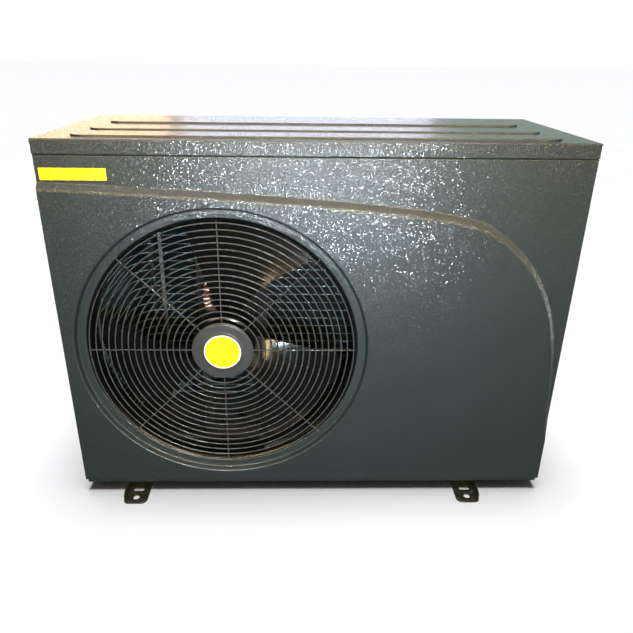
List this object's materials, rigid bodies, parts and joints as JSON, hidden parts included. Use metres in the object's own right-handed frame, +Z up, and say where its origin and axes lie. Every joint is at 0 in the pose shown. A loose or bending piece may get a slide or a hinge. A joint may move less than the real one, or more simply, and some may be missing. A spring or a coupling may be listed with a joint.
{
  "type": "heat pump unit",
  "caption": "Side-discharge pool heat pump: sheet-metal cabinet with a round wire-guarded fan, L-shaped coil, compressor, water exchanger with side unions, on bolt-down feet.",
  "frame": {"origin": "on the ground under the centre of the whole unit's box, which includes the feet, the handle rims and the unions", "axes": "+X to the right when facing the fan, +Y from the front panel to the rear, +Z up"},
  "size_m": [1.0024, 0.49, 0.718],
  "materials": {
    "dark_paint": "fine orange-peel powder coat, semi-gloss",
    "guard_paint": "smooth powder coat on wire, satin",
    "foot_paint": "dark enamel, glossy",
    "galvanised": "galvanised sheet, matt with faint spangle",
    "yellow_film": "printed vinyl film, satin",
    "black_plastic": "moulded, fine texture",
    "blue_fins": "thin fins with a blue hydrophilic coat",
    "copper": "drawn copper tube, slightly tarnished",
    "brass": "turned brass",
    "steel": "zinc-plated, satin",
    "black_paint": "black enamel, satin",
    "rubber": "moulded, dull",
    "grey_pvc": "moulded PVC, satin",
    "titanium": "drawn titanium tube, grey",
    "circuit_board": "green lacquered board",
    "pale_plastic": "pale grey housing"
  },
  "bodies": {
    "cabinet": {"accumulator": "black_paint", "base_pan": "galvanised", "cable_gland": "black_plastic", "coil_end_plate_left": "galvanised", "coil_end_plate_right": "galvanised", "coil_fins": "blue_fins", "coil_gas_pipe": "copper", "coil_header": "copper", "compressor": "black_paint", "compressor_bolt_1": "steel", "compressor_bolt_2": "steel", "compressor_bolt_3": "steel", "compressor_grommet_1": "rubber", "compressor_grommet_2": "rubber", "compressor_grommet_3": "rubber", "contactor": "pale_plastic", "control_board": "circuit_board", "discharge_pipe": "copper", "drain_spout": "black_plastic", "electrical_box": "galvanised", "electrical_cover": "galvanised", "exchanger_gas_pipe": "copper", "exchanger_lid": "grey_pvc", "exchanger_vessel": "grey_pvc", "expansion_valve": "brass", "fan_guard": "guard_paint", "fan_motor": "black_paint", "fan_shroud": "black_plastic", "foot_left": "foot_paint", "foot_right": "foot_paint", "front_label": "yellow_film", "front_panel": "dark_paint", "guard_label": "yellow_film", "guard_plate": "guard_paint", "handle_left": "black_plastic", "handle_right": "black_plastic", "inlet_tailpiece": "grey_pvc", "left_guard": "guard_paint", "left_panel": "dark_paint", "left_top_panel": "dark_paint", "liquid_pipe": "copper", "motor_bracket": "black_paint", "outlet_tailpiece": "grey_pvc", "partition": "galvanised", "rear_guard": "guard_paint", "rear_panel": "dark_paint", "return_bend": "copper", "reversing_valve": "brass", "right_panel": "dark_paint", "run_capacitor": "steel", "service_panel": "dark_paint", "suction_pipe": "copper", "terminal_cover": "black_plastic", "titanium_coil": "titanium", "top_cover": "dark_paint"},
    "fan_rotor": {"fan": "black_plastic", "fan_nut": "steel", "motor_shaft": "steel"},
    "inlet_nut": {"inlet_union_nut": "grey_pvc"},
    "outlet_nut": {"outlet_union_nut": "grey_pvc"}
  },
  "joints": [
    {"name": "fan_spin", "type": "hinge", "parent": "cabinet", "child": "fan_rotor", "pos_m": [-0.20085, -0.095, 0.326], "axis": [0, 1, 0], "continuous": true},
    {"name": "inlet_nut_turn", "type": "hinge", "parent": "cabinet", "child": "inlet_nut", "pos_m": [0.46515, 0.09, 0.1265], "axis": [1, 0, 0], "continuous": true},
    {"name": "outlet_nut_turn", "type": "hinge", "parent": "cabinet", "child": "outlet_nut", "pos_m": [0.46515, 0.09, 0.3465], "axis": [1, 0, 0], "continuous": true}
  ]
}
